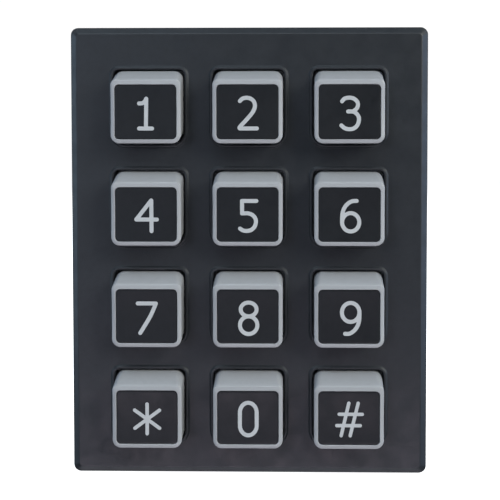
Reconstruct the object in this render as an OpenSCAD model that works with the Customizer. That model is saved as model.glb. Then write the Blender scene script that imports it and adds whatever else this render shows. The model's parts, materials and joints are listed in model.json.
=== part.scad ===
// Wall-mounted access keypad: twelve sprung two-shot keys in a black moulded case,
// a silicone switch mat over a circuit board, and a steel wall plate behind.
// Frame: +Z up the wall, the keys face -Y, the origin is on the wall plane (y = 0)
// at the middle of the case. All lengths are in millimetres.

/* [Case] */
// Width of the case
case_w = 68.5; // [68:0.5:76]
// Height of the case
case_h = 86; // [86:0.5:96]
// Depth from the wall to the flat front face
case_d = 21; // [21:0.5:25]
// Thickness of the side walls
wall_t = 2; // [1.8:0.1:2.2]
// Thickness of the front wall
front_t = 2.4; // [2:0.1:2.6]
// Radius of the four outer corners
corner_r = 1.4; // [1:0.1:2]
// Width of the bevel round the front edge
bevel_w = 1.3; // [0.8:0.1:1.4]
// Depth of the bevel round the front edge
bevel_d = 1.1; // [0.6:0.1:1.2]

/* [Key grid] */
// Distance between columns
pitch_x = 19.05; // [19:0.05:19.5]
// Distance between rows
pitch_y = 19.15; // [19:0.05:19.5]
// Height of the middle of the key block above the middle of the case
block_y = -1; // [-2:0.1:0]

/* [Keys] */
// Width of a key where it leaves the case
key_w = 13.1; // [13:0.1:14]
// Height of a key where it leaves the case
key_h = 13.7; // [13.4:0.1:14.6]
// Width of a key's top
top_w = 13.14; // [12.6:0.02:13.4]
// Height of a key's top
top_h = 11.75; // [11:0.05:12]
// How far a key stands out of the case
key_out = 4.5; // [3.5:0.1:5]
// Full travel of a key
travel = 1.8; // [1.2:0.1:2]
// Gap between a key and its opening
key_gap = 0.25; // [0.2:0.05:0.35]
// Width of the pale rim round the black face
rim_w = 0.77; // [0.6:0.01:0.9]
// Depth of the hollow in a key's top
dish = 0.3; // [0.1:0.05:0.4]

/* [Collars] */
// Width of the raised collar round each opening
collar_w = 0.8; // [0.7:0.05:1.3]
// Height of the raised collar
collar_h = 0.35; // [0.2:0.05:0.5]

/* [Wall plate] */
// Thickness of the steel plate
plate_t = 1.5; // [1.2:0.1:1.5]
// Distance between the two wall screw holes
wall_hole_pitch = 60.3; // [60.3]
// Radius of a wall screw hole
wall_hole_r = 2.1; // [1.8:0.1:2.4]

/* [Hidden] */
$fn = 48;
LABELS = ["1", "2", "3", "4", "5", "6", "7", "8", "9", "star", "0", "hash"];

// Levels, measured outward from the wall
gasket_t = 1;
cover_z = 3.2;
cover_t = 1.8;
board_z = case_d - 10.6;
board_t = 1.6;
web_t = 1;
board_top = board_z + board_t;
web_top = board_top + web_t;
pad_t = 0.05;
pill_t = 0.5;
pill_z = board_top + pad_t + travel + 0.05;
boss_top = board_top + 3.6;
inner_z = case_d - front_t;
flange_t = 1.2;
flange_z = inner_z - 0.05 - flange_t;
collar_z = case_d + collar_h;
key_z = case_d + key_out;
recess_z = key_z - 1.3;

cav_w = case_w - 2 * wall_t;
cav_h = case_h - 2 * wall_t;
post_x = cav_w / 2 - 2.7;
post_y = cav_h / 2 - 3;
post_r = 2.3;
screw_r = 1.25;
// Corner radii of a key: upper and lower, where it leaves the case and at its top
base_ru = 1.7;
base_rl = 2.7;
top_ru = 1;
top_rl = 1.5;
// Corner radii of an opening, less the gap
open_ru = 0.8;
open_rl = 2.2;
// The key's top sits low on its base, so the upper wall slopes.
top_y = -(key_h - top_h) / 2 + 0.005;
dish_r = (top_h / 2) * (top_h / 2) / (2 * dish);

function col_x(i) = (i % 3 - 1) * pitch_x;
function row_y(i) = block_y + (1.5 - floor(i / 3)) * pitch_y;

posts = [[-post_x, post_y], [post_x, post_y], [-post_x, block_y],
         [post_x, block_y], [-post_x, -post_y], [post_x, -post_y]];

// Terminal block and cable window
term_w = 29;
term_h = 7.6;
term_y = 20;
term_z = 2.2;
win_y = 16;
win_h = 17;

module stand() { rotate([90, 0, 0]) children(); }

module rrect(w, h, r) {
    square([w - 2 * r, h], center = true);
    square([w, h - 2 * r], center = true);
    for (x = [-1, 1], y = [-1, 1])
        translate([x * (w / 2 - r), y * (h / 2 - r)]) circle(r = r);
}

// A rounded rectangle whose lower corners are rounder than its upper ones
module key_shape(w, h, ru, rl) {
    square([w - 2 * rl, h], center = true);
    translate([-w / 2 + ru, 0]) square([w - 2 * ru, h / 2]);
    translate([-w / 2, -h / 2 + rl]) square([w, h - ru - rl]);
    for (x = [-1, 1]) {
        translate([x * (w / 2 - ru), h / 2 - ru]) circle(r = ru);
        translate([x * (w / 2 - rl), -h / 2 + rl]) circle(r = rl);
    }
}

module slab(w, h, r, z0, z1) {
    translate([0, 0, z0]) linear_extrude(z1 - z0) rrect(w, h, r);
}

module box(x0, x1, y0, y1, z0, z1) {
    translate([x0, y0, z0]) cube([x1 - x0, y1 - y0, z1 - z0]);
}

module rod(x, y, r, z0, z1) {
    translate([x, y, z0]) cylinder(r = r, h = z1 - z0);
}

module at_keys() {
    for (i = [0:11]) translate([col_x(i), row_y(i), 0]) children();
}

// ---- Case --------------------------------------------------------------

module case_outside() {
    slab(case_w, case_h, corner_r, gasket_t, case_d - bevel_d);
    hull() {
        translate([0, 0, case_d - bevel_d - 0.01]) linear_extrude(0.01)
            rrect(case_w, case_h, corner_r, $fn = 32);
        translate([0, 0, case_d - 0.01]) linear_extrude(0.01)
            rrect(case_w - 2 * bevel_w, case_h - 2 * bevel_w, 0.8, $fn = 32);
    }
}

module key_opening(extra = 0) {
    key_shape(key_w + 2 * key_gap + 2 * extra, key_h + 2 * key_gap + 2 * extra,
              open_ru + key_gap + extra, open_rl + key_gap + extra);
}

module front_case() {
    color([0.16, 0.165, 0.18]) {
        difference() {
            union() {
                case_outside();
                at_keys() translate([0, 0, case_d - 0.2])
                    linear_extrude(collar_h + 0.2) key_opening(collar_w);
            }
            slab(cav_w, cav_h, 0.8, 0, inner_z);
            at_keys() translate([0, 0, inner_z - 1])
                linear_extrude(front_t + 3) key_opening();
            // Pockets in the upper wall for the wall plate's ears
            for (x = [-18, 18])
                box(x - 4.4, x + 4.4, cav_h / 2 - 1, cav_h / 2 + 1.1,
                    plate_t - 0.3, plate_t + 1.8);
            // Security screw through the lower wall
            translate([0, -case_h / 2 - 1, 6.6]) rotate([-90, 0, 0]) {
                cylinder(r = 1.7, h = 6);
                cylinder(r = 3, h = 2.1);
            }
        }
        difference() {
            union() {
                // Ribs that part the keys and hold the mat down
                for (x = [-0.5, 0.5])
                    box(x * pitch_x - 0.8, x * pitch_x + 0.8, -cav_h / 2 - 0.5,
                        cav_h / 2 + 0.5, web_top + 0.1, inner_z + 0.5);
                for (k = [-1, 0, 1])
                    box(-cav_w / 2 - 0.5, cav_w / 2 + 0.5,
                        block_y + k * pitch_y - 0.7, block_y + k * pitch_y + 0.7,
                        web_top + 0.1, inner_z + 0.5);
                // Screw posts
                for (p = posts) rod(p[0], p[1], post_r, board_top, inner_z + 0.5);
            }
            for (p = posts)
                rod(p[0], p[1], screw_r + 0.05, board_top - 1, inner_z - 1.2);
        }
    }
}

module rear_cover() {
    color([0.13, 0.13, 0.14]) difference() {
        union() {
            slab(cav_w - 0.4, cav_h - 0.4, 0.6, cover_z, cover_z + cover_t);
            for (p = posts) rod(p[0], p[1], post_r, cover_z, board_z);
            // Low rib that stiffens the edge of the window
            translate([0, win_y, cover_z]) linear_extrude(cover_t + 1)
                rrect(34, win_h + 3, 2.5);
        }
        for (p = posts) {
            rod(p[0], p[1], screw_r + 0.1, 0, board_z + 1);
            rod(p[0], p[1], 2.5, 0, cover_z + 1.1);
        }
        translate([0, win_y, 0]) linear_extrude(12) rrect(31, win_h, 1.5);
        // Room for the heads of the wall screws
        for (y = [-0.5, 0.5]) rod(0, y * wall_hole_pitch, 4, 0, 12);
        // Notch for the plate's lower tab
        box(-6, 6, -cav_h / 2 - 1, -cav_h / 2 + 2.4, 0, 12);
        // Sound holes over the buzzer
        for (k = [-1, 0, 1]) rod(15 + 2.4 * k, -24, 0.6, 0, 12);
        for (k = [-1, 1]) rod(15, -24 + 2.4 * k, 0.6, 0, 12);
    }
}

// ---- Wall fixing ---------------------------------------------------------

module wall_plate() {
    color([0.72, 0.73, 0.74]) difference() {
        union() {
            slab(60, 78, 3, 0, plate_t);
            // Ears that hook into the case's upper wall
            for (x = [-18, 18])
                box(x - 4, x + 4, 36, cav_h / 2 + 0.9, plate_t - 0.1, plate_t + 1.5);
            // Lower tab that takes the security screw
            box(-5, 5, -cav_h / 2 + 0.2, -cav_h / 2 + 1.7, 0, 9.4);
            box(-5, 5, -cav_h / 2 + 0.2, -38, 0, plate_t);
        }
        for (y = [-0.5, 0.5]) rod(0, y * wall_hole_pitch, wall_hole_r, -1, 4);
        translate([0, win_y, -1]) linear_extrude(4) rrect(30, win_h, 3);
        translate([0, -cav_h / 2 - 1, 6.6]) rotate([-90, 0, 0])
            cylinder(r = 1.5, h = 6);
    }
}

module wall_gasket() {
    color([0.1, 0.1, 0.1]) difference() {
        slab(case_w - 0.8, case_h - 0.8, 1, 0, gasket_t);
        slab(case_w - 4.2, case_h - 4.2, 1, -1, gasket_t + 1);
    }
}

module security_screw() {
    y0 = -case_h / 2 + 0.15;
    color([0.75, 0.75, 0.76]) translate([0, y0, 6.6]) rotate([-90, 0, 0])
        difference() {
            union() {
                cylinder(r = 2.7, h = 0.9);
                cylinder(r = 1.45, h = 6);
            }
            // Six-lobe recess with its centre pin
            difference() {
                union() {
                    translate([0, 0, -1]) cylinder(r = 1, h = 1.7);
                    for (a = [0:60:300]) rotate(a) translate([0.95, 0, -1])
                        cylinder(r = 0.35, h = 1.7, $fn = 24);
                }
                translate([0, 0, -2]) cylinder(r = 0.35, h = 4, $fn = 24);
            }
        }
}

module case_screws() {
    color([0.6, 0.6, 0.62]) for (p = posts) translate([p[0], p[1], 0])
        difference() {
            union() {
                rod(0, 0, screw_r, cover_z + 1.1, inner_z - 1.5);
                rod(0, 0, 2.2, cover_z - 0.1, cover_z + 1.1);
            }
            for (a = [0, 90]) rotate(a)
                box(-1.3, 1.3, -0.25, 0.25, cover_z - 1, cover_z + 0.6);
        }
}

// ---- Electronics -----------------------------------------------------------

module circuit_board() {
    color([0.05, 0.3, 0.16]) difference() {
        slab(cav_w - 0.8, cav_h - 0.8, 1, board_z, board_top);
        for (p = posts) rod(p[0], p[1], screw_r + 0.15, board_z - 1, board_top + 1);
    }
}

module contact_pads() {
    color([0.85, 0.68, 0.3]) at_keys() for (s = [-1, 1])
        translate([0, 0, board_top]) linear_extrude(pad_t) difference() {
            intersection() {
                circle(r = 2.4);
                translate([s * 2.5, 0]) square([4.6, 6], center = true);
            }
            // Interleaved fingers
            for (k = [-1, 0, 1]) translate([s * 0.9, k * 1.2 + s * 0.15])
                square([1.3, 0.35], center = true);
        }
}

module dome_outside() {
    rotate_extrude() polygon([[0, web_top - 0.5], [5.3, web_top - 0.5],
        [5.3, web_top], [3.5, pill_z + pill_t], [3.2, boss_top],
        [0, boss_top]]);
}

module dome_inside() {
    rotate_extrude() polygon([[0, board_top - 1], [4.9, board_top - 1],
        [4.9, board_top + 0.5], [3.05, pill_z], [3.05, pill_z + pill_t],
        [0, pill_z + pill_t]]);
}

module silicone_mat() {
    color([0.62, 0.62, 0.6]) difference() {
        union() {
            translate([0, block_y, 0]) slab(53.6, 74, 2, board_top, web_top);
            at_keys() dome_outside();
        }
        at_keys() dome_inside();
    }
}

module controller_chip() {
    color([0.08, 0.08, 0.09]) difference() {
        box(-17, -7, -13, -3, board_z - 1.5, board_z - 0.1);
        rod(-15.8, -4.2, 0.5, board_z - 2, board_z - 1.35);
    }
}

module chip_legs() {
    color([0.8, 0.8, 0.8]) for (k = [-4:4]) {
        for (s = [-1, 1]) {
            box(-12 + k * 0.95 - 0.18, -12 + k * 0.95 + 0.18,
                s > 0 ? -3 : -14, s > 0 ? -2 : -13, board_z - 0.75, board_z - 0.55);
            box(-12 + k * 0.95 - 0.18, -12 + k * 0.95 + 0.18,
                s > 0 ? -2.2 : -14, s > 0 ? -2 : -13.8, board_z - 0.6, board_z);
            box(s > 0 ? -7 : -18, s > 0 ? -6 : -17,
                -8 + k * 0.95 - 0.18, -8 + k * 0.95 + 0.18, board_z - 0.75, board_z - 0.55);
            box(s > 0 ? -6.2 : -18, s > 0 ? -6 : -17.8,
                -8 + k * 0.95 - 0.18, -8 + k * 0.95 + 0.18, board_z - 0.6, board_z);
        }
    }
}

module crystal_can() {
    color([0.78, 0.78, 0.76]) {
        translate([2, -8, board_z - 3.4]) linear_extrude(3) rrect(4, 10.4, 1.95);
        translate([2, -8, board_z - 0.4]) linear_extrude(0.4) rrect(4.6, 11, 2.2);
    }
}

module voltage_regulator() {
    color([0.1, 0.1, 0.11]) {
        box(-14.5, -8, -29.8, -26.3, board_z - 1.7, board_z - 0.1);
        for (k = [-1, 0, 1])
            box(-11.25 + k * 2.3 - 0.35, -11.25 + k * 2.3 + 0.35, -31.4, -29.5, board_z - 0.3, board_z);
        box(-12.8, -9.7, -26.6, -24.8, board_z - 0.3, board_z);
    }
}

module filter_capacitor() {
    color([0.7, 0.71, 0.72]) {
        rod(-21, -23, 3.15, board_z - 5.1, board_z - 0.6);
        translate([-21, -23, board_z - 0.6]) linear_extrude(0.6)
            polygon([[-3.3, -3.3], [2.2, -3.3], [3.3, -2.2], [3.3, 2.2], [2.2, 3.3], [-3.3, 3.3]]);
    }
}

module buzzer() {
    color([0.09, 0.09, 0.09]) difference() {
        union() {
            rod(15, -24, 6, board_z - 5, board_z);
            rod(15, -24, 6.3, board_z - 1, board_z);
        }
        rod(15, -24, 1, board_z - 6, board_z - 3);
    }
}

module chip_resistors() {
    color([0.15, 0.14, 0.13]) for (k = [0:4]) {
        box(8 + k * 3, 9.25 + k * 3, -9.5, -7.5, board_z - 0.5, board_z);
        box(-24.5, -22.5, 26 - k * 4, 27.25 - k * 4, board_z - 0.5, board_z);
    }
}

module terminal_block() {
    color([0.1, 0.42, 0.2]) difference() {
        box(-term_w / 2, term_w / 2, term_y - term_h / 2, term_y + term_h / 2, term_z, board_z);
        for (k = [0:7]) {
            x = (k - 3.5) * 3.5;
            box(x - 1.2, x + 1.2, term_y - term_h / 2 - 1, term_y + 1, term_z + 3.2, term_z + 5.8);
            rod(x, term_y, 1.45, term_z - 1, term_z + 2);
        }
        // Stepped rear edge
        box(-term_w, term_w, term_y + 2.4, term_y + 5, term_z - 1, term_z + 1.6);
    }
}

module terminal_screws() {
    color([0.78, 0.78, 0.74]) for (k = [0:7]) translate([(k - 3.5) * 3.5, term_y, 0])
        difference() {
            rod(0, 0, 1.35, term_z + 0.6, term_z + 2);
            box(-2, 2, -0.2, 0.2, term_z, term_z + 1.1);
        }
}

// ---- Keys ------------------------------------------------------------------

module dish_cut(drop) {
    translate([-20, top_y, key_z - drop - dish + dish_r]) rotate([0, 90, 0])
        cylinder(r = dish_r, h = 40, $fn = 200);
}

// Corner posts that a key's walls are wrapped round
module discs(w, h, y, ru, rl, z, t) {
    for (s = [-1, 1]) {
        translate([s * (w / 2 - rl), y - h / 2 + rl, z])
            cylinder(r = rl, h = t, $fn = 32);
        translate([s * (w / 2 - ru), y + h / 2 - ru, z])
            cylinder(r = ru, h = t, $fn = 32);
    }
}

module keycap() {
    difference() {
        union() {
            slab(key_w + 1.8, key_h + 1.8, 1.6, flange_z, flange_z + flange_t);
            hull() {
                discs(key_w, key_h, 0, base_ru, base_rl, flange_z, collar_z - flange_z);
                discs(top_w, top_h, top_y, top_ru, top_rl, key_z - 0.01, 0.01);
            }
        }
        dish_cut(0);
        translate([0, top_y, recess_z]) linear_extrude(5)
            rrect(top_w - 2 * rim_w, top_h - 2 * rim_w, 0.85);
        // Hollow underside
        box(-5.4, 5.4, -key_h / 2 + 1.35, key_h / 2 - 2.25, flange_z - 1, recess_z - 1.5);
    }
    // Plunger with its stiffening web
    rod(0, 0, 2.6, boss_top, recess_z - 1.2);
    box(-5.6, 5.6, -0.5, 0.5, flange_z + 1, recess_z - 1.4);
}

module key_face() {
    difference() {
        translate([0, top_y, recess_z]) linear_extrude(2)
            rrect(top_w - 2 * rim_w - 0.04, top_h - 2 * rim_w - 0.04, 0.83);
        dish_cut(0.1);
    }
}

module contact_pill() { rod(0, 0, 2.2, pill_z, pill_z + pill_t); }

// ---- Assembly --------------------------------------------------------------

stand() {
    front_case();
    rear_cover();
    wall_plate();
    wall_gasket();
    security_screw();
    case_screws();
    circuit_board();
    contact_pads();
    silicone_mat();
    controller_chip();
    chip_legs();
    crystal_can();
    voltage_regulator();
    filter_capacitor();
    buzzer();
    chip_resistors();
    terminal_block();
    terminal_screws();
    for (i = [0:11]) translate([col_x(i), row_y(i), 0]) {
        color([0.66, 0.69, 0.72]) keycap();
        color([0.12, 0.13, 0.15]) key_face();
        color([0.1, 0.1, 0.1]) contact_pill();
    }
}
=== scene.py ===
import json
import math
import bpy
import bmesh
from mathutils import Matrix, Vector


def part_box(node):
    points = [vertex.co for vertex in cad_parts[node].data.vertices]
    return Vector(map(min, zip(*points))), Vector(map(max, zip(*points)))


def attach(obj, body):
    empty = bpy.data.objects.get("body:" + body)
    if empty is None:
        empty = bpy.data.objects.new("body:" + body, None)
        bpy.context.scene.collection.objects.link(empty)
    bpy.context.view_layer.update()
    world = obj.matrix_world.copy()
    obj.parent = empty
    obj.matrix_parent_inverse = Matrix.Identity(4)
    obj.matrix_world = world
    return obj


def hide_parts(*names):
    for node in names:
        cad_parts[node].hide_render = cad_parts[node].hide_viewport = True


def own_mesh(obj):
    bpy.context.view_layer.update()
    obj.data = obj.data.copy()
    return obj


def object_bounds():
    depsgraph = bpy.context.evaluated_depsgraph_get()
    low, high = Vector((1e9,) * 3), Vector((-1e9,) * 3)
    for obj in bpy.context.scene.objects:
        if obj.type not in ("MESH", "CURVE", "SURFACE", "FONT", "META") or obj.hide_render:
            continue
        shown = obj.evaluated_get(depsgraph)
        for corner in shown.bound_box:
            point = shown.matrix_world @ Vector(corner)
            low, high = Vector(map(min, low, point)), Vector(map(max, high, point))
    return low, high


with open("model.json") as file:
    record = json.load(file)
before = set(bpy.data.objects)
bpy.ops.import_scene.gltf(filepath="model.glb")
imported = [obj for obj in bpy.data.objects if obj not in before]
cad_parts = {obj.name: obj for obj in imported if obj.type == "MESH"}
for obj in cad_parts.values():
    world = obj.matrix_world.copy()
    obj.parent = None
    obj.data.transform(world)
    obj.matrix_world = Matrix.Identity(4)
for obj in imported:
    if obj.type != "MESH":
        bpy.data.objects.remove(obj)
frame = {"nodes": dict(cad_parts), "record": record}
NODES = frame["nodes"]
CAD_BOUNDS = [[float(c) for c in v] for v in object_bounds()]

KEYS = ["1", "2", "3", "4", "5", "6", "7", "8", "9", "star", "0", "hash"]
MM = 0.001


def P(x, y, z):
    """Millimetres across, up and out of the wall, to the row frame in metres."""
    return Vector((x * MM, -z * MM, y * MM))


def span(node):
    """A node's extent in the same millimetres: x0, x1, y0, y1, z0, z1."""
    lo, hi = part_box(node)
    return (lo.x / MM, hi.x / MM, lo.z / MM, hi.z / MM, -hi.y / MM, -lo.y / MM)


# ---------------------------------------------------------------- sizes
cx0, cx1, cy0, cy1, cz0, _ = span("front_case")
CASE_W, CASE_H = cx1 - cx0, cy1 - cy0
REAR = cz0
COLLAR_H = 0.35
FACE = span("front_case")[5] - COLLAR_H
WALL, FRONT = 2.0, 2.4
CORNER = 1.4
INNER = FACE - FRONT
CAV_W, CAV_H = CASE_W - 2 * WALL, CASE_H - 2 * WALL

KEY_W, KEY_H = 13.1, 13.7
BASE_RU, BASE_RL = 1.7, 2.7
OPEN_RU, OPEN_RL = 0.8, 2.2
TOP_W, TOP_H = 13.14, 11.75
TOP_Y = -(KEY_H - TOP_H) / 2 - 0.145
RIM = 0.77
DISH = 0.3
GAP = 0.25
COLLAR_W = 0.8
IN_R = 0.85

kspan = {k: span("keycap_" + k) for k in KEYS}
KEY_C = {k: ((v[0] + v[1]) / 2, (v[2] + v[3]) / 2) for k, v in kspan.items()}
FRONT_Z = kspan["1"][5]
FLANGE_Z = FACE - FRONT - 0.05 - 1.2
bs = span("circuit_board")
BOARD_Z, BOARD_TOP = bs[4], bs[5]
WEB_TOP = BOARD_TOP + 1.0
ms = span("silicone_mat")
BOSS_TOP = ms[5]
ps = span("contact_pill_1")
PILL_Z, PILL_TOP = ps[4], ps[5]
ROW_Y = sorted({round(c[1], 4) for c in KEY_C.values()}, reverse=True)
COL_X = sorted({round(c[0], 4) for c in KEY_C.values()})
BLOCK_Y = (ROW_Y[0] + ROW_Y[-1]) / 2
PITCH_X = COL_X[1] - COL_X[0]
PITCH_Y = ROW_Y[0] - ROW_Y[1]


# ---------------------------------------------------------------- materials
def srgb(r, g, b):
    def f(c):
        c /= 255
        return c / 12.92 if c <= 0.04045 else ((c + 0.055) / 1.055) ** 2.4
    return (f(r), f(g), f(b), 1.0)


class Mat:
    """A procedural material on one Principled shader."""

    def __init__(self, name, base, rough, metallic=0.0, **sockets):
        self.m = bpy.data.materials.new(name)
        self.m.use_nodes = True
        self.t = self.m.node_tree
        self.b = self.t.nodes["Principled BSDF"]
        self.b.inputs["Base Color"].default_value = base
        self.b.inputs["Roughness"].default_value = rough
        self.b.inputs["Metallic"].default_value = metallic
        for k, v in sockets.items():
            self.b.inputs[k.replace("_", " ")].default_value = v
        self.base = base
        self.rough = rough
        self.colour = None
        self.height = None
        self.tc = self.t.nodes.new("ShaderNodeTexCoord")

    def node(self, kind, **kw):
        n = self.t.nodes.new(kind)
        for k, v in kw.items():
            if k in n.inputs:
                n.inputs[k].default_value = v
            else:
                setattr(n, k, v)
        return n

    def link(self, a, b):
        self.t.links.new(a, b)

    def coords(self, scale=(1, 1, 1), rot=(0, 0, 0)):
        n = self.node("ShaderNodeMapping")
        n.inputs["Scale"].default_value = scale
        n.inputs["Rotation"].default_value = rot
        self.link(self.tc.outputs["Object"], n.inputs["Vector"])
        return n.outputs["Vector"]

    def noise(self, scale, detail=3.0, rough=0.55, stretch=(1, 1, 1), rot=(0, 0, 0)):
        n = self.node("ShaderNodeTexNoise", Scale=scale, Detail=detail, Roughness=rough)
        self.link(self.coords(stretch, rot), n.inputs["Vector"])
        return n.outputs["Fac"]

    def voronoi(self, scale, feature="F1"):
        n = self.node("ShaderNodeTexVoronoi", Scale=scale)
        n.feature = feature
        self.link(self.coords(), n.inputs["Vector"])
        return n.outputs["Distance"]

    def ramp(self, fac, lo, hi, a=0.0, b=1.0):
        n = self.node("ShaderNodeMapRange")
        n.inputs["From Min"].default_value = lo
        n.inputs["From Max"].default_value = hi
        n.inputs["To Min"].default_value = a
        n.inputs["To Max"].default_value = b
        self.link(fac, n.inputs["Value"])
        return n.outputs["Result"]

    def tint(self, fac, colour):
        """Mixes colour in where fac is 1."""
        n = self.node("ShaderNodeMix", data_type="RGBA")
        self.link(fac, n.inputs[0])
        if self.colour is None:
            n.inputs[6].default_value = self.base
        else:
            self.link(self.colour, n.inputs[6])
        n.inputs[7].default_value = colour
        self.colour = n.outputs[2]
        self.link(self.colour, self.b.inputs["Base Color"])
        return self

    def roughness(self, fac, lo, hi, a, b):
        self.link(self.ramp(fac, lo, hi, a, b), self.b.inputs["Roughness"])
        return self

    def bump(self, fac, strength, distance):
        n = self.node("ShaderNodeBump")
        n.inputs["Strength"].default_value = strength
        n.inputs["Distance"].default_value = distance
        self.link(fac, n.inputs["Height"])
        if self.height is not None:
            self.link(self.height, n.inputs["Normal"])
        self.height = n.outputs["Normal"]
        self.link(self.height, self.b.inputs["Normal"])
        return self


def shade(c, k):
    return (c[0] * k, c[1] * k, c[2] * k, 1.0)


def moulded(name, base, rough, grain=5200, depth=0.00002, mottled=0.12, spec=0.5, **kw):
    """Injection-moulded plastic: spark-eroded grain, faint flow mottling, a few rubbed and dusty spots."""
    m = Mat(name, base, rough, **kw)
    m.b.inputs["Specular IOR Level"].default_value = spec
    m.tint(m.ramp(m.noise(90, 4), 0.35, 0.7), shade(base, 1 + mottled))
    m.tint(m.ramp(m.noise(900, 3), 0.42, 0.75), shade(base, 1 - mottled))
    dust = m.noise(5200, 2, 0.7)
    m.tint(m.ramp(dust, 0.74, 0.86, 0, 0.35), shade(base, 1.9))
    m.roughness(m.noise(240, 4), 0.3, 0.75, rough - 0.06, rough + 0.09)
    m.bump(m.noise(grain, 2, 0.6), 0.35, depth)
    m.bump(m.noise(420, 2), 0.12, 0.00006)
    return m


def make_materials():
    M = {}
    M["case_plastic"] = moulded("case_plastic", srgb(37, 40, 45), 0.46, grain=4200, depth=0.00003, spec=0.42)
    M["cover_plastic"] = moulded("cover_plastic", srgb(33, 33, 35), 0.55, grain=3000, depth=0.00004, mottled=0.18)
    M["key_grey"] = moulded("key_grey", srgb(165, 166, 169), 0.40, grain=6000, depth=0.00001, mottled=0.05, spec=0.5)
    # Painted shade and painted highlight: the foot of each wall is darkened as painted shade, and the rim is lightened
    # as a painted highlight, both set by depth along the key
    k = M["key_grey"]
    xyz = k.node("ShaderNodeSeparateXYZ")
    k.link(k.tc.outputs["Object"], xyz.inputs[0])
    # Painted shade: the walls are darker towards their foot
    k.tint(k.ramp(xyz.outputs["Y"], -0.0250, -0.0214), shade(srgb(165, 166, 169), 0.80))
    # Painted highlight: the rim is lighter than the rest of the key
    k.tint(k.ramp(xyz.outputs["Y"], -0.0247, -0.0250), shade(srgb(165, 166, 169), 1.06))
    M["key_black"] = moulded("key_black", srgb(27, 29, 33), 0.46, grain=5200, depth=0.00002, mottled=0.14, spec=0.3)
    M["legend_ink"] = moulded("legend_ink", srgb(196, 198, 200), 0.45, grain=6000, depth=0.00001, mottled=0.05)

    s = Mat("silicone", srgb(168, 168, 163), 0.48)
    s.b.inputs["Subsurface Weight"].default_value = 0.25
    s.b.inputs["Subsurface Radius"].default_value = (1.0, 0.9, 0.8)
    s.b.inputs["Subsurface Scale"].default_value = 0.001
    s.tint(s.ramp(s.noise(160, 4), 0.4, 0.7), srgb(150, 150, 147))
    s.tint(s.ramp(s.noise(3200, 2, 0.7), 0.72, 0.85, 0, 0.5), srgb(215, 215, 210))
    s.roughness(s.noise(300, 3), 0.3, 0.7, 0.4, 0.58)
    s.bump(s.noise(1500, 2), 0.2, 0.00003)
    M["silicone"] = s

    s = Mat("carbon", srgb(28, 28, 29), 0.62)
    s.tint(s.ramp(s.noise(2500, 3), 0.45, 0.7), srgb(44, 44, 46))
    s.bump(s.noise(3500, 2), 0.4, 0.00003)
    M["carbon"] = s

    # Circuit board: solder mask over tracks, which show as a slightly raised, paler maze
    s = Mat("board_green", srgb(18, 74, 44), 0.3)
    s.b.inputs["Coat Weight"].default_value = 0.35
    s.b.inputs["Coat Roughness"].default_value = 0.18
    tracks = s.node("ShaderNodeTexBrick", Scale=1.0)
    tracks.inputs["Color1"].default_value = (0, 0, 0, 1)
    tracks.inputs["Color2"].default_value = (0.06, 0.06, 0.06, 1)
    tracks.inputs["Mortar"].default_value = (1, 1, 1, 1)
    tracks.inputs["Mortar Size"].default_value = 0.00018
    tracks.inputs["Brick Width"].default_value = 0.0062
    tracks.inputs["Row Height"].default_value = 0.00127
    tracks.inputs["Mortar Smooth"].default_value = 0.3
    s.link(s.coords((1, 1, 1), (math.radians(90), 0, 0)), tracks.inputs["Vector"])
    s.tint(tracks.outputs["Color"], srgb(34, 112, 66))
    s.tint(s.ramp(s.noise(260, 4), 0.42, 0.72), srgb(14, 62, 37))
    s.bump(tracks.outputs["Color"], 0.5, 0.00004)
    s.roughness(s.noise(500, 3), 0.3, 0.7, 0.24, 0.4)
    M["board_green"] = s

    s = Mat("gold_pads", srgb(214, 172, 92), 0.28, 1.0)
    s.tint(s.ramp(s.noise(1400, 3), 0.4, 0.7), srgb(190, 142, 66))
    s.roughness(s.noise(2200, 3), 0.3, 0.7, 0.2, 0.42)
    M["gold_pads"] = s

    # Zinc-plated sheet: rolling lines, spangle and a faint blue-to-straw passivation
    s = Mat("plate_steel", srgb(186, 189, 192), 0.36, 1.0)
    s.b.inputs["Anisotropic"].default_value = 0.45
    s.tint(s.ramp(s.noise(45, 3), 0.4, 0.65, 0, 0.55), srgb(196, 190, 168))
    s.tint(s.ramp(s.noise(70, 3, 0.5, (1, 1, 1), (0.4, 0.3, 0.9)), 0.45, 0.7, 0, 0.5), srgb(160, 172, 192))
    s.tint(s.ramp(s.noise(260, 2, 0.6, (6, 1, 0.25)), 0.45, 0.72, 0, 0.45), srgb(150, 151, 153))
    s.roughness(s.noise(420, 4, 0.6, (9, 1, 0.2)), 0.3, 0.7, 0.28, 0.5)
    s.bump(s.noise(900, 3, 0.6, (9, 1, 0.12)), 0.35, 0.00002)
    M["plate_steel"] = s

    s = Mat("gasket_foam", srgb(34, 34, 35), 0.9)
    s.b.inputs["Sheen Weight"].default_value = 0.15
    cells = s.voronoi(3600)
    s.tint(s.ramp(cells, 0.1, 0.6), srgb(50, 50, 51))
    s.bump(cells, 0.8, 0.0001)
    M["gasket_foam"] = s

    for name, col, r in (("screw_steel", srgb(188, 188, 190), 0.24), ("screw_zinc", srgb(178, 177, 170), 0.34),
                         ("tinned_legs", srgb(196, 197, 198), 0.3), ("can_metal", srgb(186, 185, 180), 0.26),
                         ("cap_aluminium", srgb(192, 194, 196), 0.3)):
        s = Mat(name, col, r, 1.0)
        s.tint(s.ramp(s.noise(700, 4), 0.42, 0.72, 0, 0.6), shade(col, 0.72))
        s.tint(s.ramp(s.noise(2600, 2, 0.7), 0.66, 0.8, 0, 0.5), shade(col, 0.45))
        s.roughness(s.noise(1500, 3, 0.6, (1, 5, 1)), 0.3, 0.72, r - 0.08, r + 0.14)
        s.bump(s.noise(2600, 2, 0.6, (1, 8, 1)), 0.25, 0.00001)
        M[name] = s

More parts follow.
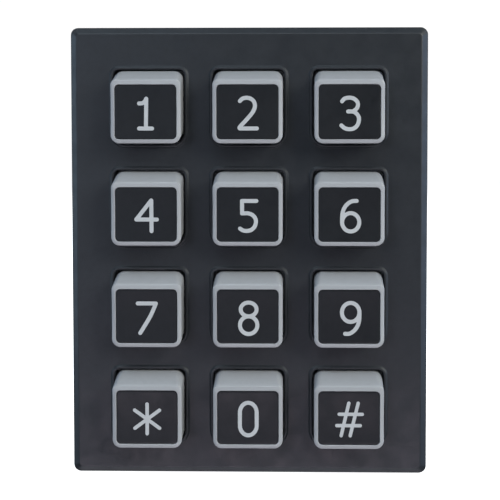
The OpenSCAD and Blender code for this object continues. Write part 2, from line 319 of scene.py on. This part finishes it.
    M["chip_black"] = moulded("chip_black", srgb(38, 38, 40), 0.52, grain=7000, depth=0.00002, mottled=0.2)
    M["resistor_black"] = moulded("resistor_black", srgb(30, 29, 30), 0.34, grain=7000, depth=0.00001, mottled=0.25)
    M["terminal_green"] = moulded("terminal_green", srgb(36, 116, 60), 0.42, grain=5000, depth=0.00002, mottled=0.14)
    return {k: v.m for k, v in M.items()}


MAT = make_materials()
SLOT = {s["node"]: s["material_slot"] for s in frame["record"]["subparts"]}


# ---------------------------------------------------------------- mesh tools
def finish_mesh(name, bm, mat, body, angle=32, replaces=None, merge=True):
    if merge:
        bmesh.ops.remove_doubles(bm, verts=bm.verts, dist=2e-6)
    bmesh.ops.recalc_face_normals(bm, faces=bm.faces)
    me = bpy.data.meshes.new(name)
    bm.to_mesh(me)
    bm.free()
    for p in me.polygons:
        p.use_smooth = True
    me.set_sharp_from_angle(angle=math.radians(angle))
    me.materials.append(MAT[mat])
    ob = bpy.data.objects.new(name, me)
    bpy.context.scene.collection.objects.link(ob)
    w = ob.modifiers.new("normals", "WEIGHTED_NORMAL")
    w.keep_sharp = True
    w.weight = 80
    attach(ob, body)
    if replaces:
        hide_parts(*replaces)
    return ob


def ring2(w, h, r, cx=0.0, cy=0.0, n=8, m=8):
    """Points round a rounded rectangle: n steps per corner, m per straight side."""
    r = min(r, w / 2 - 1e-4, h / 2 - 1e-4)
    pts = []
    corners = ((1, 1, 0), (-1, 1, 90), (-1, -1, 180), (1, -1, 270))
    for i, (sx, sy, a0) in enumerate(corners):
        for k in range(n + 1):
            a = math.radians(a0 + 90 * k / n)
            pts.append((cx + sx * (w / 2 - r) + r * math.cos(a), cy + sy * (h / 2 - r) + r * math.sin(a)))
        x, y = pts[-1]
        nx, ny, na = corners[(i + 1) % 4]
        a = math.radians(na)
        ex = cx + nx * (w / 2 - r) + r * math.cos(a)
        ey = cy + ny * (h / 2 - r) + r * math.sin(a)
        for k in range(1, m):
            pts.append((x + (ex - x) * k / m, y + (ey - y) * k / m))
    return pts


def corner_discs(w, h, cy, ru, rl):
    """Discs that a key's outline is wrapped round, anticlockwise from the lower right."""
    return [(w / 2 - rl, cy - h / 2 + rl, rl), (w / 2 - ru, cy + h / 2 - ru, ru),
            (-w / 2 + ru, cy + h / 2 - ru, ru), (-w / 2 + rl, cy - h / 2 + rl, rl)]


def wrap(discs, inset=0.0, n=(10, 8, 8, 10), m=(8, 10, 8, 10)):
    """The tight outline round some discs, as points; inset draws it in."""
    N = len(discs)
    phi = []
    for i in range(N):
        (x1, y1, r1), (x2, y2, r2) = discs[i], discs[(i + 1) % N]
        dx, dy = x2 - x1, y2 - y1
        phi.append(math.atan2(dy, dx) - math.acos(max(-1, min(1, (r1 - r2) / math.hypot(dx, dy)))))
    pts = []
    for i in range(N):
        x, y, r = discs[i]
        a, b = phi[i - 1], phi[i]
        while b < a - 1e-9:
            b += 2 * math.pi
        while b - a > math.pi:
            b -= 2 * math.pi
        rr = r - inset
        pts += [(x + rr * math.cos(a + (b - a) * k / n[i]), y + rr * math.sin(a + (b - a) * k / n[i])) for k in range(n[i] + 1)]
        nx, ny, nr = discs[(i + 1) % N]
        nr -= inset
        ex, ey = nx + nr * math.cos(b), ny + nr * math.sin(b)
        px, py = pts[-1]
        for k in range(1, m[i]):
            pts.append((px + (ex - px) * k / m[i], py + (ey - py) * k / m[i]))
    return pts


def add_ring(bm, pts, z, off=(0, 0)):
    zf = z if callable(z) else (lambda x, y: z)
    return [bm.verts.new(P(x + off[0], y + off[1], zf(x, y))) for x, y in pts]


def skin(bm, rings, closed=False):
    pairs = list(zip(rings, rings[1:]))
    if closed:
        pairs.append((rings[-1], rings[0]))
    for a, b in pairs:
        n = len(a)
        for i in range(n):
            j = (i + 1) % n
            bm.faces.new((a[i], a[j], b[j], b[i]))


def cap(bm, ring):
    bm.faces.new(ring)


def box_mm(bm, x0, x1, y0, y1, z0, z1, chamfer=0.0):
    if chamfer:
        c = chamfer
        rings = []
        for z, i in ((z0, c), (z0 + c, 0), (z1 - c, 0), (z1, c)):
            pts = [(x0 + i, y0 + i), (x1 - i, y0 + i), (x1 - i, y1 - i), (x0 + i, y1 - i)]
            rings.append(add_ring(bm, pts, z))
        skin(bm, rings)
        cap(bm, rings[0])
        cap(bm, rings[-1])
    else:
        pts = [(x0, y0), (x1, y0), (x1, y1), (x0, y1)]
        a, b = add_ring(bm, pts, z0), add_ring(bm, pts, z1)
        skin(bm, [a, b])
        cap(bm, a)
        cap(bm, b)


def lathe(bm, profile, cx=0.0, cy=0.0, n=40):
    """A closed profile of (radius, z) turned about the out-of-wall axis."""
    rings = []
    for r, z in profile:
        if r <= 1e-6:
            rings.append([bm.verts.new(P(cx, cy, z))])
        else:
            rings.append([bm.verts.new(P(cx + r * math.cos(2 * math.pi * k / n),
                                         cy + r * math.sin(2 * math.pi * k / n), z)) for k in range(n)])
    for a, b in zip(rings, rings[1:] + rings[:1]):
        if len(a) == 1 and len(b) == 1:
            continue
        for k in range(n):
            j = (k + 1) % n
            if len(a) == 1:
                bm.faces.new((a[0], b[k], b[j]))
            elif len(b) == 1:
                bm.faces.new((a[k], a[j], b[0]))
            else:
                bm.faces.new((a[k], a[j], b[j], b[k]))


def fill_with_holes(bm, outer, holes):
    edges = set()
    for ring in [outer] + holes:
        for i, v in enumerate(ring):
            u = ring[(i + 1) % len(ring)]
            e = bm.edges.get((v, u)) or bm.edges.new((v, u))
            edges.add(e)
    bmesh.ops.triangle_fill(bm, use_beauty=True, use_dissolve=False, edges=list(edges))


# ---------------------------------------------------------------- front case
def build_case():
    bm = bmesh.new()
    W, H = CASE_W, CASE_H

    def outline(inset, z, r=None):
        return add_ring(bm, ring2(W - 2 * inset, H - 2 * inset, max(0.35, (CORNER if r is None else r) - inset * 0.55), n=10, m=6), z)

    # Outside: rear edge, side wall, rounded front edge
    rings = [outline(0.25, REAR), outline(0.07, REAR + 0.07), outline(0, REAR + 0.25), outline(0, FACE - 1.1)]
    bw, bd = 1.3, 1.1
    tilt = math.atan2(bw, bd)
    r1 = 0.45
    # Rounded from the side wall on to the bevel, then from the bevel on to the face
    def arc_pts(r, a0, a1, n):
        return [(r * (1 - math.cos(a0 + (a1 - a0) * k / n)), r * math.sin(a0 + (a1 - a0) * k / n)) for k in range(n + 1)]
    t1 = r1 * math.tan(tilt / 2)
    rings[-1] = outline(0, FACE - bd - t1)
    for i, dz in arc_pts(r1, 0, tilt, 5)[1:]:
        rings.append(outline(i, FACE - bd - t1 + dz))
    r2 = 0.5
    t2 = r2 * math.tan((math.pi / 2 - tilt) / 2)
    for k in range(0, 5):
        a = tilt + (math.pi / 2 - tilt) * k / 4
        rings.append(outline(bw + t2 - r2 * (1 - math.sin(a)) * 0 - (r2 * (math.cos(a))), FACE - r2 + r2 * math.sin(a)))
    skin(bm, rings)
    # Inside walls
    inner = [add_ring(bm, ring2(CAV_W, CAV_H, 0.8, n=6, m=6), z) for z in (REAR, INNER)]
    skin(bm, inner)
    # Rear rim between the two
    fill_with_holes(bm, rings[0], [inner[0]])

    # Collars and openings
    front_holes, back_holes = [], []
    ow, oh = KEY_W + 2 * GAP, KEY_H + 2 * GAP
    prof = [(-0.05, 0.0), (0.01, 0.025), (0.06, 0.07), (0.28, 0.28), (0.33, 0.32), (0.4, 0.345), (0.48, 0.35),
            (0.58, 0.345), (0.67, 0.31), (0.74, 0.25), (0.78, 0.16), (0.8, 0.05), (0.8, -0.25)]

    def opening(g):
        return wrap(corner_discs(ow + 2 * g, oh + 2 * g, 0, OPEN_RU + GAP + g, OPEN_RL + GAP + g), n=(9, 7, 7, 9), m=(5, 6, 5, 6))

    for k in KEYS:
        c = KEY_C[k]
        col = [add_ring(bm, opening(COLLAR_W - inset), FACE + dz, c) for inset, dz in prof]
        col.append(add_ring(bm, opening(0), INNER, c))
        skin(bm, col)
        front_holes.append(col[0])
        back_holes.append(col[-1])
    fill_with_holes(bm, rings[-1], front_holes)
    fill_with_holes(bm, inner[-1], back_holes)

    # Ribs that part the keys, with their ends let into the walls
    z0 = WEB_TOP + 0.1
    for s in (-0.5, 0.5):
        box_mm(bm, s * PITCH_X - 0.8, s * PITCH_X + 0.8, -CAV_H / 2 - 0.4, CAV_H / 2 + 0.4, z0, INNER + 0.4)
    for k in (-1, 0, 1):
        y = BLOCK_Y + k * PITCH_Y
        box_mm(bm, -CAV_W / 2 - 0.4, CAV_W / 2 + 0.4, y - 0.7, y + 0.7, z0, INNER + 0.4)
    # Hollow screw posts
    for x, y in POSTS:
        lathe(bm, [(2.3, INNER + 0.4), (2.3, BOARD_TOP + 0.15), (2.15, BOARD_TOP), (1.45, BOARD_TOP),
                   (1.3, BOARD_TOP + 0.15), (1.3, INNER - 1.2), (0, INNER - 1.2), (0, INNER + 0.4)], x, y, 32)
    return bm


PX, PY = CAV_W / 2 - 2.7, CAV_H / 2 - 3
POSTS = [(-PX, PY), (PX, PY), (-PX, BLOCK_Y), (PX, BLOCK_Y), (-PX, -PY), (PX, -PY)]


# ---------------------------------------------------------------- keys
def dish_z(x, y, rim=0.0):
    """Height of the hollow top at a height y above the key's middle."""
    t = (y - TOP_Y) / (TOP_H / 2)
    return FRONT_Z - DISH * max(0.0, 1 - t * t) - rim


BASE = corner_discs(KEY_W, KEY_H, 0, BASE_RU, BASE_RL)
TOP = corner_discs(TOP_W, TOP_H, TOP_Y, 1.0, 1.5)
# The rim's section: how far in from the key's side, and how far under the hollow top
RIM_PROFILE = [(0.0, -0.4), (0.012, -0.33), (0.045, -0.27), (0.1, -0.22), (0.18, -0.18), (0.34, -0.125), (0.5, -0.07), (0.62, -0.03),
               (0.68, -0.015), (0.72, -0.025), (0.755, -0.06), (0.77, -0.13)]


def build_keycap(c):
    bm = bmesh.new()

    def rect(w, h, r, cy, z):
        return add_ring(bm, wrap(corner_discs(w, h, cy, r, r)), z, c)

    def ring(discs, inset, z):
        return add_ring(bm, wrap(discs, inset), z, c)

    def mixed(t):
        return [tuple(a + (b - a) * t for a, b in zip(p, q)) for p, q in zip(BASE, TOP)]

    z0, z1 = FACE + COLLAR_H, FRONT_Z
    rings = [
        rect(10.8, 10.1, 0.5, -0.45, FRONT_Z - 2.8),
        rect(10.8, 10.1, 0.5, -0.45, FLANGE_Z + 0.15),
        rect(11.1, 10.4, 0.65, -0.45, FLANGE_Z),
        rect(KEY_W + 1.6, KEY_H + 1.6, 1.5, 0, FLANGE_Z),
        rect(KEY_W + 1.8, KEY_H + 1.8, 1.6, 0, FLANGE_Z + 0.1),
        rect(KEY_W + 1.8, KEY_H + 1.8, 1.6, 0, FLANGE_Z + 1.1),
        rect(KEY_W + 1.6, KEY_H + 1.6, 1.5, 0, FLANGE_Z + 1.2),
        ring(BASE, -0.1, FLANGE_Z + 1.2),
        ring(BASE, 0, FLANGE_Z + 1.3),
        ring(BASE, 0, z0 - 0.3),
    ]
    # Drafted walls, the upper one sloping; then the rim
    top = 1 - 0.4 / (z1 - z0)
    for t in (0.03, 0.1, 0.25, 0.45, 0.65, 0.8, top - 0.03):
        rings.append(ring(mixed(t), 0, lambda x, y, t=t: z0 + (z1 - z0) * t - (FRONT_Z - dish_z(x, y)) * t / top))
    iw, ih = TOP_W - 2 * RIM, TOP_H - 2 * RIM
    for inset, dz in RIM_PROFILE:
        g = RIM - inset
        if inset < 0.4:
            t = top + (1 - top) * min(1, inset / 0.2)
            pts = wrap(mixed(t), inset)
        else:
            pts = wrap(corner_discs(iw + 2 * g, ih + 2 * g, TOP_Y, IN_R + g * 0.6, IN_R + g * 0.8))
        rings.append(add_ring(bm, pts, lambda x, y, dz=dz: dish_z(x, y) + dz, c))
    rings.append(add_ring(bm, wrap(corner_discs(iw, ih, TOP_Y, IN_R, IN_R)), FRONT_Z - 0.5, c))
    rings.append(add_ring(bm, wrap(corner_discs(iw, ih, TOP_Y, IN_R, IN_R)), FRONT_Z - 1.3, c))
    skin(bm, rings)
    cap(bm, rings[0])
    cap(bm, rings[-1])
    # Plunger and its web
    lathe(bm, [(0, BOSS_TOP), (2.4, BOSS_TOP), (2.6, BOSS_TOP + 0.2), (2.6, FRONT_Z - 2.6), (0, FRONT_Z - 2.6)], c[0], c[1], 36)
    box_mm(bm, c[0] - 5.6, c[0] + 5.6, c[1] - 0.5, c[1] + 0.5, FLANGE_Z + 1, FRONT_Z - 2.7)
    return bm


FACE_DROP = 0.14


def face_z(x, y):
    """The black face is a little flatter than the rim round it."""
    t = (y - TOP_Y) / (TOP_H / 2 - RIM)
    return dish_z(x, y) - FACE_DROP + 0.1 * max(0.0, 1 - t * t)


def build_face(c):
    bm = bmesh.new()
    g = 0.03
    w, h, r = TOP_W - 2 * RIM - 2 * g, TOP_H - 2 * RIM - 2 * g, IN_R - g
    N, Mm = 6, 12
    rings = [add_ring(bm, ring2(w, h, r, 0, TOP_Y, N, Mm), FRONT_Z - 1.3, c)]
    E = 0.14
    for k in range(0, 5):
        a = math.radians(90 * k / 4)
        i = E * (1 - math.cos(a))
        rings.append(add_ring(bm, ring2(w - 2 * i, h - 2 * i, r - i * 0.6, 0, TOP_Y, N, Mm),
                              lambda x, y, a=a: face_z(x, y) - E + E * math.sin(a), c))
    for s in (0.5, 1.1, 1.9, 2.8, 3.7, 4.4):
        rings.append(add_ring(bm, ring2(w - 2 * s, h - 2 * s, max(0.15, r - s * 0.3), 0, TOP_Y, N, Mm),
                              lambda x, y: face_z(x, y), c))
    skin(bm, rings)
    cap(bm, rings[0])
    cap(bm, rings[-1])
    return bm


# Legends: centre lines in a grid of 1/5.31 mm, x to the right and y down, about the middle of the face.
def arc(cx, cy, rx, ry, a0, a1, n=28):
    return [(cx + rx * math.cos(math.radians(a0 + (a1 - a0) * k / n)),
             cy + ry * math.sin(math.radians(a0 + (a1 - a0) * k / n))) for k in range(n + 1)]


def smooth(pts, n=7):
    """A Catmull-Rom curve through the points."""
    out = []
    p = [pts[0]] + list(pts) + [pts[-1]]
    for i in range(1, len(p) - 2):
        for k in range(n):
            t = k / n
            q = []
            for d in (0, 1):
                a, b, c, e = p[i - 1][d], p[i][d], p[i + 1][d], p[i + 2][d]
                q.append(0.5 * (2 * b + (c - a) * t + (2 * a - 5 * b + 4 * c - e) * t * t + (3 * b - a - 3 * c + e) * t ** 3))
            out.append(tuple(q))
    out.append(pts[-1])
    return out


UNIT = 0.1883
GLYPHS = {
    "1": (1.98, [smooth([(-6.2, -8.5), (-2.9, -8.8), (-0.5, -10.5), (0.9, -13.2)]), [(0.9, -13.2), (0.5, 16.2)], [(-6.3, 16.3), (6.6, 16.3)]]),
    "2": (1.98, [smooth([(-7.4, -10.8), (-4.8, -13.1), (-0.8, -14), (3.4, -13), (6.5, -10.2), (7.5, -6.4), (6.5, -2), (3.8, 2.2), (-1.6, 8.4), (-7.3, 14.6), (-7.5, 16.3)]), [(-7.5, 16.3), (9.4, 16.3)]]),
    "3": (1.98, [smooth([(-7.6, -10.4), (-5.0, -13.1), (-0.8, -14), (3.6, -13.2), (7.1, -10.4), (8.1, -7), (6.8, -3.2), (3.4, -0.6)]), [(-1.6, -0.4), (3.2, -0.4)],
                 smooth([(3.0, -0.5), (6.4, 1.4), (8.8, 4.9), (9.0, 9.0), (7.4, 13.3), (4.2, 16.2), (0, 17.1), (-4.6, 16.2), (-8.2, 13.4)])]),
    "4": (1.98, [[(5.3, -14.0), (-9.6, 4.9)], [(-9.6, 5.0), (10.9, 5.0)], [(5.4, -14.0), (5.6, 16.6)]]),
    "5": (1.98, [[(8.8, -13.6), (-5.4, -13.6), (-5.4, -1.2)], smooth([(-5.4, -1.2), (0.4, -1.3), (4.8, 0.3), (7.6, 3.5), (8.4, 7.3), (7.1, 11.8), (3.8, 15.1), (-0.6, 16.2), (-4.4, 15.7), (-7.4, 13.9)])]),
    "6": (1.98, [smooth([(7.0, -13.7), (2.8, -13.4), (-1.2, -11.4), (-4.6, -7.6), (-6.7, -2.4), (-7.3, 3.5), (-7.3, 7.5)]), arc(1.2, 7.5, 8.5, 9.1, 0, 360, 60)]),
    "7": (1.98, [[(-8.6, -12.8), (9.5, -12.8)], smooth([(9.5, -12.8), (7.8, -8.4), (3.6, 0.6), (-2, 10), (-6.2, 16.8)])]),
    "8": (1.98, [arc(1.0, -7.1, 7.9, 6.9, 0, 360, 56), arc(1.0, 8.7, 8.7, 8.8, 0, 360, 60)]),
    "9": (1.98, [arc(1.4, -4.4, 8.7, 9.5, 0, 360, 60), smooth([(10.1, -4.4), (10.0, 2), (8.6, 8.4), (5.2, 13.5), (0.6, 16.7), (-4.1, 17.0)])]),
    "star": (1.75, [[(0.2, -13.2), (0.2, 16.7)], [(-12.3, -7.0), (12.7, 11.2)], [(12.6, -7.0), (-12.1, 11.2)]]),
    "0": (1.98, [arc(0.5, -5.0, 8.4, 10.0, 180, 360, 36) + arc(0.5, 7.9, 8.4, 9.9, 0, 180, 36) + [(-7.9, -5.0)]]),
    "hash": (1.7, [[(-0.2, -15.0), (-7.8, 17.7)], [(9.1, -15.0), (1.2, 17.7)], [(-9.8, -3.8), (13.2, -3.8)], [(-12.2, 7.6), (11.2, 7.6)]]),
}


def build_legend(key, c):
    """The strokes' outline, traced on a fine grid, so that strokes that cross are one shape."""
    half, strokes = GLYPHS[key]
    half *= UNIT
    segs = []
    for s in strokes:
        pts = [(x * UNIT, -y * UNIT + TOP_Y) for x, y in s]
        segs += list(zip(pts, pts[1:]))
    step = 0.075
    xs = [p[0] for s in segs for p in s]
    ys = [p[1] for s in segs for p in s]
    x0, y0 = min(xs) - half - 2 * step, min(ys) - half - 2 * step
    nx = int((max(xs) + half - x0) / step) + 3
    ny = int((max(ys) + half - y0) / step) + 3
    data = []
    for (ax, ay), (bx, by) in segs:
        dx, dy = bx - ax, by - ay
        data.append((ax, ay, dx, dy, max(dx * dx + dy * dy, 1e-12)))
    reach = half + 2 * step
    val = [[9.0] * nx for _ in range(ny)]
    for ax, ay, dx, dy, ll in data:
        i0 = max(0, int((min(ax, ax + dx) - reach - x0) / step))
        i1 = min(nx - 1, int((max(ax, ax + dx) + reach - x0) / step) + 1)
        j0 = max(0, int((min(ay, ay + dy) - reach - y0) / step))
        j1 = min(ny - 1, int((max(ay, ay + dy) + reach - y0) / step) + 1)
        for j in range(j0, j1 + 1):
            y = y0 + j * step
            row = val[j]
            for i in range(i0, i1 + 1):
                x = x0 + i * step
                t = ((x - ax) * dx + (y - ay) * dy) / ll
                t = 0.0 if t < 0 else 1.0 if t > 1 else t
                d = math.hypot(x - ax - dx * t, y - ay - dy * t) - half
                if d < row[i]:
                    row[i] = d
    bm = bmesh.new()
    cache = {}

    def vert(key2, x, y):
        if key2 not in cache:
            cache[key2] = bm.verts.new(P(x + c[0], y + c[1], face_z(x, y) + 0.02))
        return cache[key2]

    def cross(i, j, k, m):
        a, b = val[j][i], val[m][k]
        t = a / (a - b)
        t = min(0.97, max(0.03, t))
        return vert(("e", min((i, j), (k, m)), max((i, j), (k, m))), x0 + (i + (k - i) * t) * step, y0 + (j + (m - j) * t) * step)

    for j in range(ny - 1):
        for i in range(nx - 1):
            loop = [(i, j), (i + 1, j), (i + 1, j + 1), (i, j + 1)]
            ins = [val[q][p] < 0 for p, q in loop]
            if not any(ins):
                continue
            poly = []
            for k in range(4):
                (p, q), (u, v) = loop[k], loop[(k + 1) % 4]
                if ins[k]:
                    poly.append(vert(("g", p, q), x0 + p * step, y0 + q * step))
                if ins[k] != ins[(k + 1) % 4]:
                    poly.append(cross(p, q, u, v))
            if len(poly) > 2 and len(set(poly)) == len(poly):
                bm.faces.new(poly)
    # Side wall, down into the face
    top = list(bm.faces)
    rim = [e for e in bm.edges if len(e.link_faces) == 1]
    low = {}
    for e in rim:
        for v in e.verts:
            if v not in low:
                low[v] = bm.verts.new(v.co + Vector((0, 0.00012, 0)))
    for e in rim:
        f = e.link_faces[0]
        a, b = e.verts
        for l in f.loops:
            if l.edge == e:
                a, b = l.vert, l.link_loop_next.vert
        bm.faces.new((b, a, low[a], low[b]))
    return bm


def build_pill(c):
    bm = bmesh.new()
    lathe(bm, [(0, PILL_Z), (1.95, PILL_Z), (2.2, PILL_Z + 0.15), (2.2, PILL_TOP), (0, PILL_TOP)], c[0], c[1], 36)
    return bm


# ---------------------------------------------------------------- silicone mat
def build_web():
    bm = bmesh.new()
    w, h = ms[1] - ms[0], ms[3] - ms[2]
    rings = [add_ring(bm, ring2(w - 0.4, h - 0.4, 1.8, 0, BLOCK_Y, 6, 4), BOARD_TOP),
             add_ring(bm, ring2(w, h, 2, 0, BLOCK_Y, 6, 4), BOARD_TOP + 0.2),
             add_ring(bm, ring2(w, h, 2, 0, BLOCK_Y, 6, 4), WEB_TOP - 0.2),
             add_ring(bm, ring2(w - 0.4, h - 0.4, 1.8, 0, BLOCK_Y, 6, 4), WEB_TOP)]
    skin(bm, rings)
    lo, hi = [], []
    for k in KEYS:
        c = KEY_C[k]
        pts = [(5.28 * math.cos(2 * math.pi * i / 48), 5.28 * math.sin(2 * math.pi * i / 48)) for i in range(48)]
        a, b = add_ring(bm, pts, BOARD_TOP, c), add_ring(bm, pts, WEB_TOP, c)
        skin(bm, [a, b])
        lo.append(a)
        hi.append(b)
    fill_with_holes(bm, rings[0], lo)
    fill_with_holes(bm, rings[-1], hi)
    return bm


def build_dome(c):
    bm = bmesh.new()
    lathe(bm, [(5.3, BOARD_TOP), (5.3, WEB_TOP - 0.08), (5.2, WEB_TOP), (4.9, WEB_TOP + 0.12), (4.5, WEB_TOP + 0.5),
               (3.75, PILL_TOP - 0.12), (3.55, PILL_TOP + 0.1), (3.38, PILL_TOP + 0.5), (3.22, BOSS_TOP - 0.2),
               (3.0, BOSS_TOP - 0.02), (2.7, BOSS_TOP), (0, BOSS_TOP), (0, PILL_TOP), (2.9, PILL_TOP),
               (3.05, PILL_TOP - 0.15), (3.05, PILL_Z), (3.6, PILL_Z - 0.6), (4.75, BOARD_TOP + 0.55), (4.9, BOARD_TOP + 0.35), (4.9, BOARD_TOP)], c[0], c[1], 48)
    return bm


# ---------------------------------------------------------------- build
finish_mesh("front_case_moulding", build_case(), "case_plastic", "housing", 34, replaces=["front_case"])
for k in KEYS:
    c, body = KEY_C[k], "key_" + k
    finish_mesh("keycap_shell_" + k, build_keycap(c), "key_grey", body, 40, replaces=["keycap_" + k])
    finish_mesh("key_black_face_" + k, build_face(c), "key_black", body, 40, replaces=["key_face_" + k])
    finish_mesh("key_legend_" + k, build_legend(k, c), "legend_ink", body, 40, merge=False)
    finish_mesh("carbon_pill_" + k, build_pill(c), "carbon", body, 40, replaces=["contact_pill_" + k])
    dome = finish_mesh("silicone_dome_" + k, build_dome(c), "silicone", "housing", 50)
    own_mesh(dome)
finish_mesh("silicone_web", build_web(), "silicone", "housing", 50, replaces=["silicone_mat"])

# CAD nodes that keep their shape: edges softened, procedural material
BEVEL = {"rear_cover": 0.12, "wall_plate": 0.12, "wall_gasket": 0.15, "security_screw": 0.06, "case_screws": 0.06,
         "circuit_board": 0.05, "controller_chip": 0.06, "crystal_can": 0.08, "voltage_regulator": 0.04,
         "filter_capacitor": 0.1, "buzzer": 0.12, "chip_resistors": 0.03, "terminal_block": 0.06, "terminal_screws": 0.04}
for name, ob in NODES.items():
    if ob.hide_render:
        continue
    slot_name = SLOT[name]
    ob.data.materials.clear()
    ob.data.materials.append(MAT[slot_name])
    if name in BEVEL:
        w = ob.modifiers.new("weld", "WELD")
        w.merge_threshold = 1e-6
        d = ob.modifiers.new("planar", "DECIMATE")
        d.decimate_type = "DISSOLVE"
        d.angle_limit = math.radians(1.5)
        b = ob.modifiers.new("edges", "BEVEL")
        b.width = BEVEL[name] * MM
        b.segments = 2
        b.limit_method = "ANGLE"
        b.angle_limit = math.radians(35)
        b.harden_normals = False
        n = ob.modifiers.new("normals", "WEIGHTED_NORMAL")
        n.keep_sharp = True

# ---------------------------------------------------------------- stage
ground = bmesh.new()
gz = CAD_BOUNDS[0][2] - 0.0002
vs = [ground.verts.new((x, y, gz)) for x, y in ((-2.5, -2.5), (2.5, -2.5), (2.5, 2.5), (-2.5, 2.5))]
ground.faces.new(vs)
gm = bpy.data.meshes.new("floor")
ground.to_mesh(gm)
ground.free()
floor = bpy.data.objects.new("floor", gm)
bpy.context.scene.collection.objects.link(floor)
fm = Mat("floor_white", (0.9, 0.9, 0.9, 1), 0.9)
fm.b.inputs["Specular IOR Level"].default_value = 0.0
fm.b.inputs["Emission Color"].default_value = (1, 1, 1, 1)
fm.b.inputs["Emission Strength"].default_value = 0.93
floor.data.materials.append(fm.m)
floor.visible_diffuse = False
floor.visible_glossy = False

# ---------------------------------------------------------------- light
world = bpy.data.worlds.new("studio")
bpy.context.scene.world = world
world.use_nodes = True
wt = world.node_tree
bg = wt.nodes["Background"]
bg.inputs["Color"].default_value = (0.84, 0.95, 1, 1)
bg.inputs["Strength"].default_value = 0.09
seen = wt.nodes.new("ShaderNodeBackground")
seen.inputs["Color"].default_value = (1, 1, 1, 1)
seen.inputs["Strength"].default_value = 1.05
lp = wt.nodes.new("ShaderNodeLightPath")
mix = wt.nodes.new("ShaderNodeMixShader")
wt.links.new(lp.outputs["Is Camera Ray"], mix.inputs[0])
wt.links.new(bg.outputs[0], mix.inputs[1])
wt.links.new(seen.outputs[0], mix.inputs[2])
wt.links.new(mix.outputs[0], wt.nodes["World Output"].inputs["Surface"])


def softbox(name, az, el, dist, w, h, radiance, colour=(1, 1, 1)):
    """A rectangular light facing the keypad: azimuth from the front to the right, elevation, and how bright it looks."""
    d = bpy.data.lights.new(name, "AREA")
    d.shape = "RECTANGLE"
    d.size, d.size_y = w, h
    d.energy = radiance * math.pi * w * h
    d.color = colour
    o = bpy.data.objects.new(name, d)
    a, e = math.radians(az), math.radians(el)
    o.location = (dist * math.sin(a) * math.cos(e), -dist * math.cos(a) * math.cos(e), dist * math.sin(e))
    o.rotation_euler = (-o.location).to_track_quat("-Z", "Y").to_euler()
    bpy.context.scene.collection.objects.link(o)
    return o


softbox("right_softbox", 54, 25, 1.0, 0.5, 0.5, 8.9, (0.99, 1.0, 0.92))
softbox("low_fill", 0, -32, 1.1, 1.0, 0.4, 7.6, (1.0, 0.86, 1.0))
softbox("front_high_softbox", 0, 52, 1.0, 0.8, 0.5, 2.3, (0.83, 0.91, 1.0))
softbox("front_left_softbox", -30, 5, 1.0, 0.35, 0.5, 3.9, (0.77, 0.84, 1.0))
softbox("left_side_softbox", -88, 5, 0.9, 0.5, 0.6, 2.6, (0.59, 0.79, 1.0))
softbox("right_side_softbox", 88, 5, 0.9, 0.5, 0.6, 3.0, (0.5, 0.68, 1.0))
softbox("back_left_softbox", -140, 35, 1.2, 0.6, 0.6, 4.5)
softbox("back_right_softbox", 140, 35, 1.2, 0.6, 0.6, 4.5)
softbox("below_softbox", 0, -80, 0.9, 0.9, 0.5, 2.2, (0.88, 0.88, 1.0))
softbox("left_high_softbox", -35, 60, 1.0, 0.5, 0.5, 2.2, (0.66, 0.85, 1.0))

# ---------------------------------------------------------------- camera
cam = bpy.data.cameras.new("camera")
cam.sensor_width = 36
# The photo shows the keys' right walls and never their lower ones, so it was taken from
# above and to the right, with the back of the camera nearly parallel to the keypad.
EYE_X, EYE_Y, EYE_D, K = 10.0, 18.0, 177.5, 929.2
cam.lens = 36 * K / 500
cam.clip_start = 0.01
cam.clip_end = 20
camera = bpy.data.objects.new("camera", cam)
camera.location = (EYE_X * MM, -(FACE + EYE_D) * MM, EYE_Y * MM)
camera.rotation_euler = (math.radians(90 - 2.0), 0, math.radians(1.0))
aim = camera.rotation_euler.to_matrix().transposed() @ (Vector((0, -(FACE - 1.1) * MM, 0)) - camera.location)
cam.shift_x = ((250 - 249.13) - K * aim.x / aim.z) / 500
cam.shift_y = ((251.55 - 250) - K * aim.y / aim.z) / 500
bpy.context.scene.collection.objects.link(camera)
bpy.context.scene.camera = camera

bpy.context.scene.view_settings.view_transform = "Standard"
bpy.context.scene.view_settings.look = "None"
bpy.context.scene.view_settings.exposure = 0
bpy.context.scene.view_settings.gamma = 1
